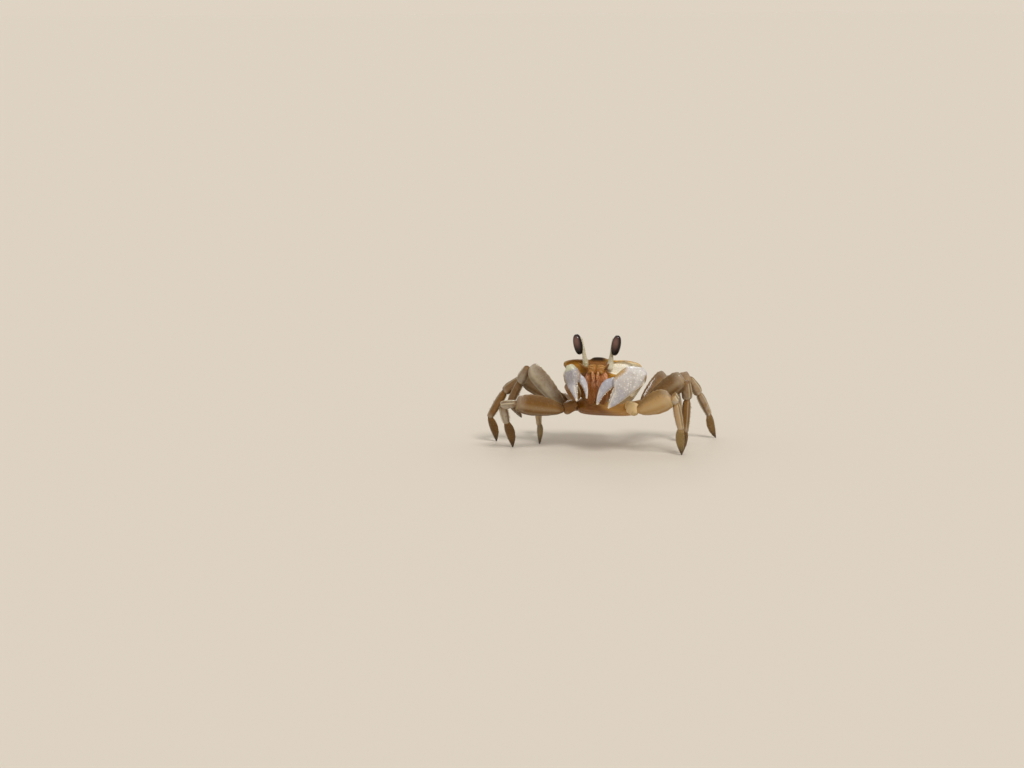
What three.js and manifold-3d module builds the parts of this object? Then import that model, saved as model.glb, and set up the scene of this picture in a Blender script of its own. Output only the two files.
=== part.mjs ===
// Young ghost crab standing on its walking legs. Millimetres, +Z up; it faces -Y and its own left is +X.
import * as THREE from 'three';
import { mergeVertices } from 'three/addons/utils/BufferGeometryUtils.js';
import Module from 'manifold-3d';

const wasm = await Module();
wasm.setup();

// Driving dimensions.
const jointGap = 0.3;          // clearance left around every moving joint
const bodyWidth = 26.2;        // across the carapace at its front corners
const bodyLength = 22;
const rimHeight = 4.4;         // the side edge of the carapace, above the middle of the body
const domeHeight = 2.3;        // how far the back rises over that edge
const bodyDepth = 12.3;        // from the side edge down to the belly
const bodyPitch = 20;          // nose up, degrees
const bodyRoll = 1.5;          // its left side up, degrees
const standHeight = 20.3;      // middle of the body above the floor
const frontRake = 0.3;         // the face slopes back toward the mouth

const bellyWidth = 19;
const bellyLength = 14.6;
const bellyThickness = 2.6;
const tailLength = 11.2;
const tailWidth = 4.8;

const mouthPlateLength = 10.8;
const mouthPlateWidth = 3.7;
const mouthPlateThickness = 2;

const eyeSpread = 3.75;        // middle of each stalk's foot from the mid line
const stalkLength = 7.7;
const corneaLength = 6.5;
const corneaWidth = 3;
const orbitWidth = 8.2;
const orbitHeight = 4.6;
const feelerLength = 3.4;
const feelerThickness = 0.62;

// Segment lengths from the body out, front pair first; `girth` scales sections, `depth` and `hipGirth` the width.
const legPairs = [
  {
    hip: 4.4, merus: 15.5, carpus: 5.7, propodus: 9.1, dactyl: 9.5,
    girth: 1.0, depth: 1.12, hipGirth: 1.25, root: [8.4, -4.4, -7.3],
  },
  {
    hip: 4.6, merus: 17.5, carpus: 7.8, propodus: 10.1, dactyl: 9.3,
    girth: 1.0, depth: 1, hipGirth: 1.1, root: [9.0, -0.8, -7.0],
  },
  {
    hip: 4.5, merus: 17.3, carpus: 7.7, propodus: 10.1, dactyl: 9.4,
    girth: 0.96, depth: 1, hipGirth: 1, root: [8.6, 2.8, -6.6],
  },
  {
    hip: 3.9, merus: 13.4, carpus: 5.9, propodus: 8.3, dactyl: 9.2,
    girth: 0.85, depth: 1, hipGirth: 0.95, root: [7.2, 6.0, -5.8],
  },
];

// Width across the flat of the leg, thickness through it.
const segmentGirth = {
  hip: { width: 4.4, thickness: 3.4 },
  merus: { width: 6.6, thickness: 3.1 },
  carpus: { width: 3.5, thickness: 2.5 },
  propodus: { width: 2.9, thickness: 1.9 },
  dactyl: { width: 2.8, thickness: 1.3 },
};

// Heading of each segment: [forward swing from straight out to the side, rise], degrees.
// Where the toe is planted its rise follows from the floor instead. `hang` moves a merus's far end
// away from its knee, so that the next segment starts from its upper corner.
const stance = {
  right: [
    {
      hip: [47, -18], merus: [39, 11], carpus: [-8, -12],
      propodus: [-78, -44], dactyl: [-102, -48], planted: true,
    },
    {
      hip: [30, -4], merus: [28, 51], carpus: [-36, -49],
      propodus: [-33, -52], dactyl: [-100, -38], planted: false,
    },
    {
      hip: [18, 6], merus: [12, 30], carpus: [2, -39],
      propodus: [0, -58], dactyl: [-100, -69], planted: true,
    },
    {
      hip: [2, 4], merus: [-33, -2], carpus: [4, 0],
      propodus: [118, -57], dactyl: [112, -40], planted: true,
    },
  ],
  left: [
    {
      hip: [7, -17], merus: [22, 33], carpus: [-75, -54],
      propodus: [-80, -70], dactyl: [-97, -57], planted: true, hang: [-0.4, 1.4, -2.8],
    },
    {
      hip: [10, 10], merus: [5, 36], carpus: [-100, -71],
      propodus: [99, -83], dactyl: [-117, -75], planted: true,
    },
    {
      hip: [-53, 6], merus: [-46, 28], carpus: [-70, -49],
      propodus: [-78, -49], dactyl: [-70, -67], planted: true,
    },
    {
      hip: [-68, 12], merus: [-62, 38], carpus: [-25, -55],
      propodus: [-20, -80], dactyl: [12, -84], planted: true,
    },
  ],
};

// Each hand is laid out in its own plane: x from the wrist to the tips, y toward the moving finger.
const clawLimbs = {
  left: {
    root: [6.2, -7.2, -6.6],
    elbow: [12.3, -12.0, 21.4],
    wrist: [17.5, -15.8, 26.4],
    pointing: [-0.79, 0.02, -0.61],
    rising: [-0.6, -0.11, 0.79],
    hand: {
      heel: 1.4, length: 15.9, back: 5.7, belly: -2.15,
      fork: [10.3, 2.4], tip: [15.8, -1.4], thickness: 4.4,
    },
    finger: { root: [8.6, 4.6], reach: 10, turn: -18, width: 3.5, bow: 1.1, thickness: 2.4 },
    teeth: 5,
  },
  right: {
    root: [-6.2, -7.2, -6.6],
    elbow: [-7.9, -13.2, 22.2],
    wrist: [-7.1, -15.8, 27.9],
    pointing: [0.35, 0.11, -0.93],
    rising: [0.84, 0.41, 0.37],
    hand: {
      heel: 0.7, length: 10.9, back: 2.9, belly: -2.75,
      fork: [5.8, 0.4], tip: [11.1, -1.7], thickness: 3.2, slim: 0.3,
    },
    finger: { root: [3.4, 1.8], reach: 7.9, turn: -2, width: 2.4, bow: 0.9, thickness: 1.9 },
    teeth: 3,
  },
};

// Small tools.
const up = new THREE.Vector3(0, 0, 1);
const radians = THREE.MathUtils.degToRad;
const sideSign = { left: 1, right: -1 };
const bodyPose = new THREE.Matrix4().makeTranslation(0, 0, standHeight)
  .multiply(new THREE.Matrix4().makeRotationX(-radians(bodyPitch)))
  .multiply(new THREE.Matrix4().makeRotationY(-radians(bodyRoll)));

function signedPower(value, power) {
  return Math.sign(value) * Math.abs(value) ** power;
}

// 1 in the middle, 0 at both ends; a higher power makes a blunter end.
function blunt(t, power) {
  return (1 - Math.min(1, Math.abs(2 * t - 1)) ** power) ** (1 / power);
}

function ease(t, from, to) {
  return THREE.MathUtils.smoothstep(t, from, to);
}

// A closed skin: `place` gives a point for each share of the way along and each angle around.
function skin(sides, rings, place) {
  const ball = new THREE.SphereGeometry(1, sides, rings);
  const spots = ball.attributes.position;
  const spot = new THREE.Vector3();
  for (let i = 0; i < spots.count; i += 1) {
    spot.fromBufferAttribute(spots, i);
    const along = Math.acos(THREE.MathUtils.clamp(spot.y, -1, 1)) / Math.PI;
    const around = Math.atan2(spot.z, spot.x);
    spots.setXYZ(i, ...place((1 - Math.cos(Math.PI * along)) / 2, around));
  }
  return solid(ball);
}

function solid(geometry) {
  const bare = geometry.clone();
  bare.deleteAttribute('normal');
  bare.deleteAttribute('uv');
  const merged = mergeVertices(bare, 1e-4);
  return new wasm.Manifold(new wasm.Mesh({
    numProp: 3,
    vertProperties: Float32Array.from(merged.attributes.position.array),
    triVerts: Uint32Array.from(merged.index.array),
  }));
}

function pose(body, matrix) {
  return body.transform(matrix.elements);
}

// Local x runs from `from` to `to`, local y follows `rising` as nearly as it can.
function span(from, to, rising) {
  const x = to.clone().sub(from).normalize();
  const z = new THREE.Vector3().crossVectors(x, rising).normalize();
  const y = new THREE.Vector3().crossVectors(z, x);
  return new THREE.Matrix4().makeBasis(x, y, z).setPosition(from);
}

function heading(side, [swing, rise]) {
  const flat = Math.cos(radians(rise));
  return new THREE.Vector3(
    sideSign[side] * Math.cos(radians(swing)) * flat,
    -Math.sin(radians(swing)) * flat,
    Math.sin(radians(rise)),
  );
}

// A limb segment along local x. `outline(t)` gives its share of the width and of the thickness;
// `crest` thins the upper edge, `bow` bends it toward local y, `grow` adds clearance all round
// and a low `square` flattens the faces.
function limb({
  length, width, thickness, outline, sides, rings, crest = 0, bow = 0, grow = 0, square = 0.85,
}) {
  const endPower = 4;
  return skin(sides, rings, (t, around) => {
    const [wide, deep] = outline(t);
    const cap = blunt(t, endPower);
    const rise = signedPower(Math.cos(around), square);
    const thin = 1 - crest * Math.max(0, rise);
    return [
      t * (length + 2 * grow) - grow,
      rise * (width * wide / 2 + grow) * cap + bow * 4 * t * (1 - t),
      signedPower(Math.sin(around), square) * (thickness * deep / 2 * thin + grow) * cap,
    ];
  });
}

// Outlines of the limb segments.
const outlines = {
  hip: (t) => [0.86 + 0.14 * t, 0.9 + 0.1 * t],
  merus: (t) => [0.6 + 0.4 * ease(t, 0, 0.6) - 0.14 * ease(t, 0.78, 1), 0.86 + 0.14 * ease(t, 0, 0.5)],
  carpus: (t) => [0.7 + 0.3 * ease(t, 0.1, 0.75), 0.85 + 0.15 * t],
  propodus: (t) => [1 - 0.16 * t, 1 - 0.12 * t],
  dactyl: (t) => [0.88 + 0.12 * ease(t, 0, 0.4) - 0.74 * ease(t, 0.42, 1.02), 1 - 0.5 * ease(t, 0.35, 1)],
};
const crests = { hip: 0, merus: 0.4, carpus: 0.2, propodus: 0.1, dactyl: 0 };
const ringCounts = { hip: 4, merus: 7, carpus: 5, propodus: 5, dactyl: 7 };
const sideCounts = { hip: 8, merus: 10, carpus: 8, propodus: 8, dactyl: 8 };

// The body.
function carapaceShell() {
  const frontPower = 7;
  const rearPower = 3.6;
  return skin(26, 14, (t, around) => {
    const across = signedPower(-Math.cos(around), 0.62);
    const rise = Math.sin(around);
    const cap = blunt(t, t < 0.5 ? frontPower : rearPower);
    const halfWidth = bodyWidth / 2 * (0.98 - 0.05 * ease(t, 0.1, 0.45) - 0.14 * ease(t, 0.4, 1)) * cap;
    const rim = rimHeight - 0.4 * (1 - ease(t, 0, 0.2)) - 2.4 * ease(t, 0.55, 1);
    const belly = bodyDepth * (1 - 0.3 * ease(t, 0.55, 1));
    const inward = rise < 0 ? 1 - 0.38 * Math.abs(rise) ** 0.6 : 1;
    const frontShare = 1 - ease(t, 0, 0.5);
    const lift = rise > 0
      ? signedPower(rise, 0.8 - 0.3 * frontShare) * domeHeight
      : signedPower(rise, 0.8) * belly;
    const y = (t - 0.5) * bodyLength - frontShare * Math.min(0, lift * cap) * frontRake;
    return [across * halfWidth * inward, y, rim + lift * cap];
  });
}

function frontLobe() {
  const lobe = limb({
    length: 5,
    width: 5.2,
    thickness: 1.8,
    outline: (t) => [0.7 + 0.3 * t, 1],
    sides: 12,
    rings: 6,
  });
  const from = new THREE.Vector3(0, -7.4, 6.4);
  const to = new THREE.Vector3(0, -11.7, 5.3);
  return pose(lobe, span(from, to, new THREE.Vector3(1, 0, 0)));
}

function cornerTooth(sign) {
  const tooth = new THREE.ConeGeometry(0.95, 3.2, 6).rotateZ(Math.PI);
  return solid(tooth.translate(sign * (0.94 * bodyWidth / 2 - 1.1), -10.4, rimHeight - 0.4));
}

function orbit(sign, grow = 0) {
  const pit = new THREE.SphereGeometry(1, 12, 8)
    .scale(orbitWidth / 2 + grow, 2.4 + grow, orbitHeight / 2 + grow);
  pit.rotateY(sign * radians(6));
  pit.translate(sign * 7.3, -11.3, rimHeight - 2.6);
  return solid(pit);
}

function belly(grow = 0) {
  return skin(16, 6, (t, around) => {
    const cap = blunt(t, 3.2);
    const taper = 1 - 0.2 * (1 - ease(t, 0, 0.5)) - 0.24 * ease(t, 0.6, 1);
    const halfWidth = (bellyWidth / 2 * taper + grow) * cap;
    return [
      -signedPower(Math.cos(around), 0.7) * halfWidth,
      (t - 0.46) * (bellyLength + 2 * grow),
      1.1 * ease(t, 0.5, 1) - 8.3 + signedPower(Math.sin(around), 0.7) * (bellyThickness / 2 + grow) * cap,
    ];
  });
}

function tail(grow = 0) {
  const flap = limb({
    length: tailLength,
    width: tailWidth,
    thickness: 1.5,
    outline: (t) => [1 - 0.5 * ease(t, 0.1, 1), 1],
    grow,
    sides: 8,
    rings: 6,
  });
  const from = new THREE.Vector3(0, 8.6, -7);
  const to = new THREE.Vector3(0, -2.4, -8.9);
  return pose(flap, span(from, to, new THREE.Vector3(1, 0, 0)));
}

function mouthPlate(sign, grow = 0) {
  const plate = limb({
    length: mouthPlateLength,
    width: mouthPlateWidth,
    thickness: mouthPlateThickness,
    outline: (t) => [0.78 + 0.22 * ease(t, 0, 0.4), 1],
    grow,
    square: 0.55,
    sides: 10,
    rings: 6,
  });
  const from = new THREE.Vector3(sign * 1.95, -8.1, -7.9);
  const to = new THREE.Vector3(sign * 1.95, -11.3, 2.5);
  return pose(plate, span(from, to, new THREE.Vector3(1, 0, 0)));
}

// Eyes and feelers.
function eyeFrame(sign) {
  const foot = new THREE.Vector3(sign * eyeSpread, -10.7, rimHeight - 1.6);
  const lean = new THREE.Vector3(sign * 0.22 + 0.03, -0.38, 1).normalize();
  return { foot, lean };
}

function eyestalk(sign, grow = 0) {
  const { foot, lean } = eyeFrame(sign);
  const length = stalkLength + 2.6;
  const stalk = limb({
    length,
    width: 2.5,
    thickness: 2.2,
    outline: (t) => Array(2).fill(1 - 0.42 * ease(t, 0.15, 0.7)),
    grow,
    sides: 8,
    rings: 7,
  });
  const end = foot.clone().addScaledVector(lean, length);
  return pose(stalk, span(foot, end, new THREE.Vector3(sign, 0, 0)));
}

function cornea(sign, grow = 0) {
  const { foot, lean } = eyeFrame(sign);
  const middle = foot.clone().addScaledVector(lean, stalkLength + 0.2);
  middle.add(new THREE.Vector3(sign * 0.95, -0.3, 0));
  const drop = new THREE.SphereGeometry(1, 12, 10);
  drop.scale(corneaWidth / 2 + grow, corneaLength / 2 + grow, corneaWidth / 2 + grow);
  const tilt = new THREE.Quaternion().setFromUnitVectors(new THREE.Vector3(0, 1, 0), lean);
  drop.applyQuaternion(tilt);
  drop.translate(middle.x, middle.y, middle.z);
  return solid(drop);
}

function feeler(sign) {
  const whip = limb({
    length: feelerLength,
    width: feelerThickness * 1.4,
    thickness: feelerThickness * 1.4,
    outline: (t) => [1 - 0.28 * t, 1 - 0.28 * t],
    sides: 6,
    rings: 5,
  });
  const from = new THREE.Vector3(sign * 3.1, -12, 2.6);
  const to = new THREE.Vector3(sign * 4.9, -14.3, 3.9);
  return pose(whip, span(from, to, up));
}

// Walking legs.
function legJoints(side, pair, moves) {
  const [outward, back, height] = pair.root;
  const root = new THREE.Vector3(sideSign[side] * outward, back, height).applyMatrix4(bodyPose);
  const joints = [root];
  for (const segment of ['hip', 'merus', 'carpus', 'propodus']) {
    joints.push(joints.at(-1).clone().addScaledVector(heading(side, moves[segment]), pair[segment]));
  }
  const ankle = joints.at(-1);
  const [swing, rise] = moves.dactyl;
  const landing = -THREE.MathUtils.radToDeg(Math.asin(Math.min(1, ankle.z / pair.dactyl)));
  const tip = heading(side, [swing, moves.planted ? landing : rise]);
  joints.push(ankle.clone().addScaledVector(tip, pair.dactyl));
  return joints;
}

function legSegments(side, number) {
  const pair = legPairs[number];
  const moves = stance[side][number];
  const joints = legJoints(side, pair, moves);
  const flatNormal = new THREE.Vector3()
    .crossVectors(joints[2].clone().sub(joints[1]), joints[5].clone().sub(joints[2]))
    .normalize();
  return ['hip', 'merus', 'carpus', 'propodus', 'dactyl'].map((segment, i) => {
    const from = joints[i];
    const sole = segment === 'dactyl' && moves.planted ? 0.5 : 0;
    const end = joints[i + 1].clone();
    if (segment === 'merus' && moves.hang) end.add(new THREE.Vector3(...moves.hang));
    const to = end.clone().addScaledVector(end.clone().sub(from).normalize(), sole);
    const rising = new THREE.Vector3().crossVectors(flatNormal, to.clone().sub(from)).normalize();
    if (segment === 'hip' || segment === 'merus') {
      rising.multiplyScalar(Math.sign(rising.z)).addScaledVector(up, 0.7);
    }
    const broader = { hip: pair.hipGirth, merus: pair.depth }[segment] ?? 1;
    const build = (grow) => pose(limb({
      length: from.distanceTo(to) + (segment === 'dactyl' ? 0 : 0.7),
      width: segmentGirth[segment].width * pair.girth * broader,
      thickness: segmentGirth[segment].thickness * pair.girth,
      outline: outlines[segment],
      crest: crests[segment],
      bow: segment === 'dactyl' ? 0.45 : 0,
      grow,
      sides: sideCounts[segment],
      rings: ringCounts[segment],
    }), span(from, to, rising));
    const material = segment === 'dactyl' ? 'toe' : 'leg';
    return { name: `leg_${side}_${number + 1}_${segment}`, material, build };
  });
}

// Claw limbs.
function handOutline({ length, back, belly: under, fork, tip, slim = 0.8 }) {
  const upper = (x) => {
    const palm = back * (0.45 + 0.55 * ease(x, -2, 3)) * (1 - 0.1 * ease(x, 4, fork[0]));
    const finger = THREE.MathUtils.lerp(fork[1], tip[1] + 0.25, ease(x, fork[0] * 0.9, length * 1.06));
    return THREE.MathUtils.lerp(palm, finger, ease(x, fork[0] - 1.9, fork[0] + 0.2));
  };
  const lower = (x) => {
    const heel = under * (0.3 + 0.7 * ease(x, -1, 3));
    return heel + (tip[1] - under) * ease(x, slim * length, 1.05 * length);
  };
  return { upper, lower };
}

function hand({ hand: shape, teeth }, grow = 0) {
  const { upper, lower } = handOutline(shape);
  const palm = skin(12, 13, (t, around) => {
    const cap = blunt(t, 6);
    const x = t * (shape.heel + shape.length + 2 * grow) - shape.heel - grow;
    const middle = (upper(x) + lower(x)) / 2;
    const half = (upper(x) - lower(x)) / 2;
    const deep = 1 - 0.52 * ease(t, 0.4, 0.95);
    return [
      x,
      middle + signedPower(Math.cos(around), 0.85) * (half + grow) * cap,
      signedPower(Math.sin(around), 0.85) * (shape.thickness * deep / 2 + grow) * cap,
    ];
  });
  const cusps = [];
  for (let i = 0; i < teeth; i += 1) {
    const x = THREE.MathUtils.lerp(shape.fork[0] + 0.9, shape.length - 1.4, i / (teeth - 1));
    const size = 0.5 - 0.05 * i;
    cusps.push(solid(new THREE.ConeGeometry(size, 0.8, 4).translate(x, upper(x) + 0.05, 0)));
  }
  return cusps.reduce((whole, cusp) => whole.add(cusp), palm);
}

function finger({ finger: shape }, grow = 0) {
  const turn = new THREE.Matrix4().makeRotationZ(radians(shape.turn));
  turn.setPosition(shape.root[0], shape.root[1], 0);
  return pose(limb({
    length: shape.reach,
    width: shape.width,
    thickness: shape.thickness,
    outline: (t) => [1 - 0.72 * ease(t, 0.1, 1.05), 1 - 0.5 * t],
    bow: shape.bow,
    grow,
    sides: 8,
    rings: 8,
  }), turn);
}

function clawLimb(side) {
  const layout = clawLimbs[side];
  const shoulder = new THREE.Vector3(...layout.root).applyMatrix4(bodyPose);
  const elbow = new THREE.Vector3(...layout.elbow);
  const wrist = new THREE.Vector3(...layout.wrist);
  const pointing = new THREE.Vector3(...layout.pointing);
  const rising = new THREE.Vector3(...layout.rising);
  const handPose = span(wrist, wrist.clone().add(pointing), rising);
  const arm = (grow) => pose(limb({
    length: shoulder.distanceTo(elbow) + 0.8,
    width: 4.6,
    thickness: 3.2,
    outline: (t) => [0.7 + 0.3 * ease(t, 0, 0.6), 0.8 + 0.2 * t],
    crest: 0.3,
    grow,
    sides: 10,
    rings: 5,
  }), span(shoulder, elbow, up));
  const cuff = (grow) => pose(limb({
    length: elbow.distanceTo(wrist) + 0.6,
    width: 3.4,
    thickness: 3.6,
    outline: (t) => [0.8 + 0.2 * ease(t, 0, 0.6), 0.85 + 0.15 * t],
    grow,
    sides: 10,
    rings: 5,
  }), span(elbow, wrist, new THREE.Vector3(sideSign[side], 0, 0)));
  return [
    { name: `arm_${side}`, material: 'leg', build: arm },
    { name: `wrist_${side}`, material: 'leg', build: cuff },
    { name: `palm_${side}`, material: 'claw', build: (grow) => pose(hand(layout, grow), handPose) },
    { name: `finger_${side}`, material: 'claw', build: (grow) => pose(finger(layout, grow), handPose) },
  ];
}

// Putting it together.
// Cutting can leave crumbs beside the piece itself: only the piece is kept.
function largest(shape) {
  return shape.decompose().sort((a, b) => b.volume() - a.volume())[0];
}

// Along a limb every segment gives way to the one beyond it, which leaves a socket at each joint.
function socketed(chain) {
  return chain.map((piece, i) => {
    const beyond = chain.slice(i + 1, i + 2);
    const shape = beyond.reduce((rest, other) => rest.subtract(other.build(jointGap)), piece.build(0));
    return { ...piece, shape };
  });
}

const floorCutter = solid(new THREE.BoxGeometry(200, 200, 20).translate(0, 0, -10));
const pieces = [];
const roots = [];
for (const side of ['left', 'right']) {
  const limbs = [clawLimb(side)];
  for (let number = 0; number < legPairs.length; number += 1) {
    limbs.push(legSegments(side, number));
  }
  for (const chain of limbs) {
    roots.push(chain[0].build(jointGap));
    pieces.push(...socketed(chain));
  }
}

const inBody = (shape) => pose(shape, bodyPose);
const bothSides = [1, -1];
let shell = carapaceShell().add(frontLobe());
for (const sign of bothSides) {
  shell = shell.add(cornerTooth(sign)).subtract(orbit(sign)).subtract(mouthPlate(sign, jointGap));
  shell = shell.subtract(eyestalk(sign, jointGap)).subtract(cornea(sign, jointGap));
}
shell = shell.subtract(belly(jointGap)).subtract(tail(jointGap));
shell = roots.reduce((rest, root) => rest.subtract(root), inBody(shell));
const plate = roots.reduce((rest, root) => rest.subtract(root), inBody(belly().subtract(tail(jointGap))));
pieces.push({ name: 'carapace', material: 'shell', shape: shell });
pieces.push({ name: 'sternum', material: 'belly', shape: plate });
pieces.push({ name: 'abdomen', material: 'belly', shape: inBody(tail()) });
for (const [side, sign] of Object.entries(sideSign)) {
  const stalk = eyestalk(sign).subtract(cornea(sign, 0.05));
  pieces.push({ name: `mouthpart_${side}`, material: 'mouth', shape: inBody(mouthPlate(sign)) });
  pieces.push({ name: `eyestalk_${side}`, material: 'stalk', shape: inBody(stalk) });
  pieces.push({ name: `eye_${side}`, material: 'eye', shape: inBody(cornea(sign)) });
  pieces.push({ name: `antenna_${side}`, material: 'stalk', shape: inBody(feeler(sign)) });
}

const finishes = {
  shell: { color: 0xb8a98a, roughness: 0.5 },
  belly: { color: 0x9a6a34, roughness: 0.5 },
  mouth: { color: 0xb4643c, roughness: 0.5 },
  leg: { color: 0x9c8154, roughness: 0.4 },
  toe: { color: 0x5c4526, roughness: 0.45 },
  claw: { color: 0xc8c8cd, roughness: 0.35 },
  stalk: { color: 0xb9b79a, roughness: 0.35 },
  eye: { color: 0x2a1a18, roughness: 0.12 },
};

function toMesh({ name, material, shape }) {
  const { vertProperties, triVerts } = shape.getMesh();
  const geometry = new THREE.BufferGeometry();
  geometry.setAttribute('position', new THREE.BufferAttribute(Float32Array.from(vertProperties), 3));
  geometry.setIndex(new THREE.BufferAttribute(Uint32Array.from(triVerts), 1));
  const finish = new THREE.MeshStandardMaterial({ ...finishes[material], metalness: 0 });
  const mesh = new THREE.Mesh(geometry, finish);
  mesh.name = name;
  return mesh;
}

const crab = new THREE.Group();
crab.name = 'ghost_crab';
for (const piece of pieces) {
  crab.add(toMesh({ ...piece, shape: largest(piece.shape.subtract(floorCutter)) }));
}
const extent = new THREE.Box3().setFromObject(crab);
const middle = extent.getCenter(new THREE.Vector3());
for (const mesh of crab.children) {
  mesh.position.set(-middle.x, -middle.y, 0);
}
export default crab;
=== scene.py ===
import math
import random

import bmesh
import bpy
import numpy as np
from mathutils import Matrix, Vector, noise
from mathutils.bvhtree import BVHTree


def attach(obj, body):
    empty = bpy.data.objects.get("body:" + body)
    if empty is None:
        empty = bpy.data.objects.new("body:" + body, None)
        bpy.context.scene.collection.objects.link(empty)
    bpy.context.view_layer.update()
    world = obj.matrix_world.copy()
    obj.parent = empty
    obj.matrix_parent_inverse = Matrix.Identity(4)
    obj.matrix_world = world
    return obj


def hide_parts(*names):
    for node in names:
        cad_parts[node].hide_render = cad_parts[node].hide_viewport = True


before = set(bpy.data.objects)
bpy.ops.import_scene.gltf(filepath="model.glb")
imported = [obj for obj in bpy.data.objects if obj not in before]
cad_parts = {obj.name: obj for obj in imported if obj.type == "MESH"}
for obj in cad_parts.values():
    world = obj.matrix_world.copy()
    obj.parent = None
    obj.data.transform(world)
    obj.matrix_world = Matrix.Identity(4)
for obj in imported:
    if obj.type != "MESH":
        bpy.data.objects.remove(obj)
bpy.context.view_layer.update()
bpy.context.scene.view_settings.view_transform = "Standard"
random.seed(11)
mm = 0.001  # shapes are worked out in millimetres and scaled once
print("frame loaded:", len(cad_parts), "solids")


# Small maths
def ease(value, low, high):
    share = min(1, max(0, (value - low) / (high - low)))
    return share * share * (3 - 2 * share)


def signedPower(value, power):
    return math.copysign(abs(value) ** power, value)


def squared(around, power):  # cosine and sine of a section that is squarer than an ellipse
    return signedPower(math.cos(around), power), signedPower(math.sin(around), power)


def bell(value, width):
    return math.exp(-(value / width) ** 2)


def blunt(t, power):  # 1 in the middle, 0 at both ends
    return (1 - min(1, abs(2 * t - 1)) ** power) ** (1 / power)


def mixed(a, b, share):
    return a + (b - a) * share


def evenShares(curve, count):  # values that step evenly along a curve
    fine = np.linspace(0, 1, 1501)
    points = np.array([curve(value) for value in fine])
    travelled = np.cumsum(np.linalg.norm(np.diff(points, axis=0), axis=1))
    travelled = np.concatenate([[0], travelled])
    return np.interp(np.linspace(0, travelled[-1], count + 1), travelled, fine)


def angleApart(a, b):  # degrees
    return abs((a - b + 180) % 360 - 180)


# Reading the solids
def cadPoints(node):
    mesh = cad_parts[node].data
    points = np.empty(len(mesh.vertices) * 3)
    mesh.vertices.foreach_get("co", points)
    return points.reshape(-1, 3) / mm


def cadTree(node):
    corners = [polygon.vertices[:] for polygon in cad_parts[node].data.polygons]
    return BVHTree.FromPolygons([Vector(point) for point in cadPoints(node)], corners)


def footOf(far, near, reach=0.5, slack=0.15):  # middle of the end that sits in its neighbour's socket
    tree = cadTree(near)
    points = [Vector(point) for point in cadPoints(far)]
    gaps = [tree.find_nearest(point)[3] for point in points]
    limit = max(reach, min(gaps) + slack)
    seated = [point for point, gap in zip(points, gaps) if gap < limit]
    return sum(seated, Vector()) / len(seated)


def tipOf(node, start, cap=0.35):  # middle of the end furthest from the start
    points = [Vector(point) for point in cadPoints(node)]
    reach = max((point - start).length for point in points)
    ends = [point for point in points if (point - start).length > reach - cap]
    return sum(ends, Vector()) / len(ends)


def framed(start, end, above):  # x from start to end, y towards above
    x = (end - start).normalized()
    z = x.cross(above).normalized()
    y = z.cross(x)
    place = Matrix((x, y, z)).transposed().to_4x4()
    place.translation = start
    return place


def limbPlace(node, start, end, above):  # y lies in the broad plane of the piece
    along = np.array((end - start).normalized())
    spots = cadPoints(node) - np.array(start)
    across = spots - np.outer(spots @ along, along)
    wide = Vector(np.linalg.eigh(across.T @ across)[1][:, 2])
    if wide.dot(above) < 0:
        wide.negate()
    return framed(start, end, wide)


def outlineOf(node, place, trim, count=37, passes=3):  # lowest and highest y and z at stations along x
    turned = np.array(place.inverted())
    spots = cadPoints(node) @ turned[:3, :3].T + turned[:3, 3]
    corners = np.array([polygon.vertices[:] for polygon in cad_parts[node].data.polygons])
    heads = spots[corners].reshape(-1, 3)
    tails = spots[np.roll(corners, -1, axis=1)].reshape(-1, 3)
    low, high = spots[:, 0].min(), spots[:, 0].max()
    stations = np.linspace(low + trim[0] * (high - low), high - trim[1] * (high - low), count)
    rows = []
    for station in stations:
        crossing = (heads[:, 0] - station) * (tails[:, 0] - station) < 0
        step = (tails - heads)[crossing]
        share = (station - heads[crossing, 0]) / step[:, 0]
        cut = heads[crossing] + share[:, None] * step
        rows.append([cut[:, 1].min(), cut[:, 1].max(), cut[:, 2].min(), cut[:, 2].max()])
    rows = np.array(rows)
    for _ in range(passes):
        rows[1:-1] = (rows[:-2] + 2 * rows[1:-1] + rows[2:]) / 4
    return stations, rows, low, high


def sectionAt(x, stations, rows):
    return [np.interp(x, stations, rows[:, i]) for i in range(4)]


def onSection(x, section, across, up):  # a section's box goes from -1 to 1 both ways
    y0, y1, z0, z1 = section
    return Vector((x, (y0 + y1) / 2 + (y1 - y0) / 2 * across, (z0 + z1) / 2 + (z1 - z0) / 2 * up))


def onRing(x, radius, around):
    return Vector((x, radius * math.cos(around), radius * math.sin(around)))


# Making pieces: marks are numbers kept at each point of a skin, and the materials read them.
# along goes from root to tip, dorsal is 1 above and -1 below, tone is light or dark (mostly painted light and shade on
# one side, and on the claws their yellow top edge), and the rest are masks
marks = (
    "along", "dorsal", "edge", "soft", "tone", "pale", "warm",
    "face", "gold", "pit", "brow", "flank", "tooth",
)
bristleShape = {"sides": 3, "sunk": 0.08, "tip": 0.25, "patch": (0.0012, 0.0024)}


def newShape():
    bm = bmesh.new()
    for name in marks:
        bm.verts.layers.float.new(name)
    return bm


def mark(bm, vert, values):
    for name, value in values.items():
        vert[bm.verts.layers.float[name]] = value


def skin(bm, sides, rings, place, stations=None, turns=None):  # place gives each point and its marks
    ball = bmesh.ops.create_uvsphere(bm, u_segments=sides, v_segments=rings, radius=1)["verts"]
    for vert in ball:
        ring = round(math.acos(max(-1, min(1, vert.co.z))) / math.pi * rings)
        side = round((math.atan2(vert.co.y, vert.co.x) / math.tau) % 1 * sides) % sides
        t = ring / rings if stations is None else stations[ring]
        around = math.tau * (side / sides if turns is None else turns[side])
        vert.co, values = place(t, around)
        mark(bm, vert, values)


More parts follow.
